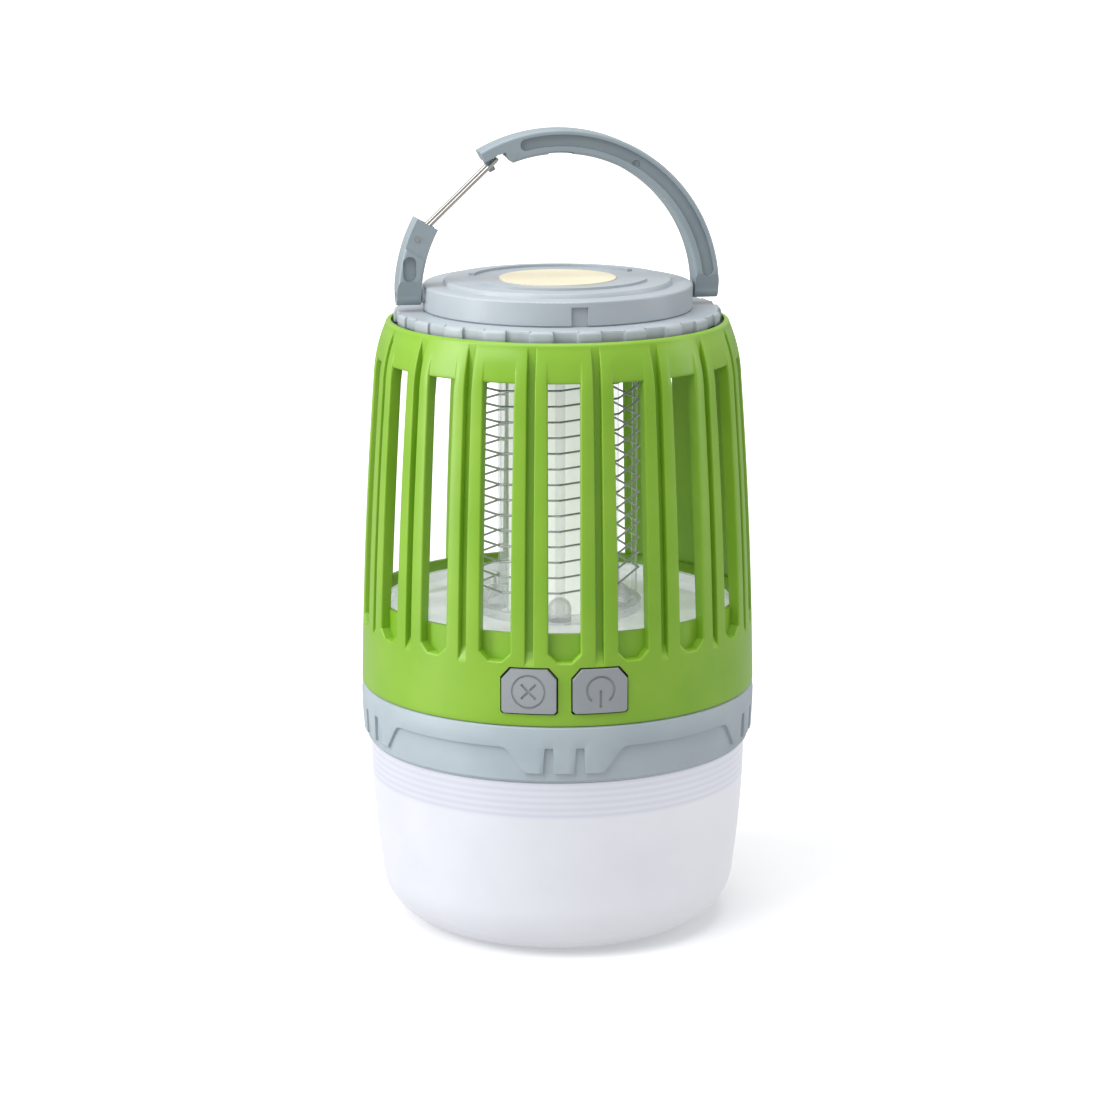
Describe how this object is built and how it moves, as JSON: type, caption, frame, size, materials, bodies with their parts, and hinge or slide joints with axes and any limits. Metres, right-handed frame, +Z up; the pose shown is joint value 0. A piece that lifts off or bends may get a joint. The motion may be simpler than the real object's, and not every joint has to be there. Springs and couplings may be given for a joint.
{
  "type": "electric bug zapper lantern",
  "caption": "Rechargeable camping lantern with an electric insect grid behind a staved guard, a screw-off lamp shade and cap, and a folding hook handle with a wire gate.",
  "frame": {"origin": "centre of the lamp shade's flat bottom", "axes": "+Z up along the body axis, -Y the front with the two keys, +X to the right seen from the front"},
  "size_m": [0.0904, 0.0907, 0.1821],
  "materials": {
    "shade_white": "translucent white, fine satin",
    "housing_grey": "cool light grey, satin moulded",
    "guard_green": "yellow green, satin moulded",
    "cap_grey": "light grey, satin moulded",
    "handle_grey": "mid grey, satin moulded",
    "key_grey": "mid grey, satin moulded",
    "seal_rubber": "dark soft rubber",
    "flap_rubber": "dark grey soft rubber",
    "clear_plastic": "clear polycarbonate",
    "led_clear": "clear domed lamp",
    "steel": "bright drawn steel",
    "spring_steel": "polished spring steel",
    "board_green": "green circuit board",
    "board_white": "white metal-cored board",
    "ferrite": "dark ferrite",
    "coil_tape": "yellow winding tape",
    "film_blue": "boxed film part",
    "can_sleeve": "dark sleeve",
    "switch_black": "black switch body",
    "cell_wrap": "plain blue heat-shrink sleeve",
    "holder_black": "black moulding",
    "label_cream": "plain cream label",
    "lead_white": "white insulation",
    "chip_yellow": "white lamp chip with yellow phosphor"
  },
  "bodies": {
    "lantern_body": {"base_housing": "housing_grey", "battery_cell": "cell_wrap", "battery_contact_negative": "spring_steel", "battery_contact_positive": "spring_steel", "battery_holder": "holder_black", "board_screw_1": "steel", "board_screw_2": "steel", "board_screw_3": "steel", "board_screw_4": "steel", "cage_lower_band": "guard_green", "cage_staves": "guard_green", "cage_top_band": "guard_green", "can_capacitor": "can_sleeve", "chamber_floor": "clear_plastic", "charge_light": "led_clear", "film_capacitor": "film_blue", "flap_pin": "steel", "grid_frame": "clear_plastic", "grid_top": "clear_plastic", "grid_wire_live": "steel", "grid_wire_return": "steel", "hv_lead_live": "lead_white", "hv_lead_return": "lead_white", "lamp_board": "board_white", "lamp_leds": "chip_yellow", "lamp_screw_left": "steel", "lamp_screw_right": "steel", "light_tube": "clear_plastic", "main_board": "board_green", "tact_switch_left": "switch_black", "tact_switch_right": "switch_black", "transformer_coil": "coil_tape", "transformer_core": "ferrite", "usb_socket": "steel", "uv_board": "board_green", "uv_led_1": "led_clear", "uv_led_2": "led_clear", "uv_led_3": "led_clear", "uv_led_4": "led_clear"},
    "shade_carrier": {"shade_seal": "seal_rubber"},
    "shade": {"lamp_shade": "shade_white"},
    "cap_carrier": {"cap_seal": "seal_rubber"},
    "cap": {"cap_ring": "cap_grey", "cap_screw_1": "steel", "cap_screw_2": "steel", "cap_screw_3": "steel", "hook_plate": "cap_grey", "label_disc": "label_cream"},
    "handle": {"handle_arm": "handle_grey", "handle_stub": "handle_grey", "handle_axle": "steel", "gate_pin": "steel"},
    "gate": {"wire_gate": "spring_steel"},
    "left_button": {"button_left": "key_grey"},
    "right_button": {"button_right": "key_grey"},
    "flap": {"port_flap": "flap_rubber"}
  },
  "joints": [
    {"name": "shade_lift", "type": "slide", "parent": "lantern_body", "child": "shade_carrier", "axis": [0, 0, -1], "range_m": [0, 0.006]},
    {"name": "shade_turn", "type": "hinge", "parent": "shade_carrier", "child": "shade", "pos_m": [0, 0, 0.03], "axis": [0, 0, -1], "range_deg": [0, 722]},
    {"name": "cap_lift", "type": "slide", "parent": "lantern_body", "child": "cap_carrier", "axis": [0, 0, 1], "range_m": [0, 0.00562]},
    {"name": "cap_turn", "type": "hinge", "parent": "cap_carrier", "child": "cap", "pos_m": [0, 0, 0.14], "axis": [0, 0, 1], "range_deg": [0, 812]},
    {"name": "handle_fold", "type": "hinge", "parent": "cap", "child": "handle", "pos_m": [0, 0, 0.1454], "axis": [0.9877, 0.1564, 0], "range_deg": [-67, 67]},
    {"name": "gate_swing", "type": "hinge", "parent": "handle", "child": "gate", "pos_m": [-0.03195, -0.00506, 0.1584], "axis": [-0.1564, 0.9877, 0], "range_deg": [0, 28], "stiffness_Nm_per_rad": 0.02, "springref_deg": -14.32},
    {"name": "left_press", "type": "slide", "parent": "lantern_body", "child": "left_button", "axis": [0.1736, 0.9848, 0], "range_m": [0, 0.0008], "stiffness_N_per_m": 800, "springref_m": -0.0006},
    {"name": "right_press", "type": "slide", "parent": "lantern_body", "child": "right_button", "axis": [-0.1736, 0.9848, 0], "range_m": [0, 0.0008], "stiffness_N_per_m": 800, "springref_m": -0.0006},
    {"name": "flap_swing", "type": "hinge", "parent": "lantern_body", "child": "flap", "pos_m": [0, 0.0442, 0.0605], "axis": [-1, 0, 0], "range_deg": [0, 84]}
  ],
  "couplings": [
    {"joint": "shade_turn", "follows": "shade_lift", "rad_per_m": 2094.4},
    {"joint": "cap_turn", "follows": "cap_lift", "rad_per_m": 2513.3}
  ]
}
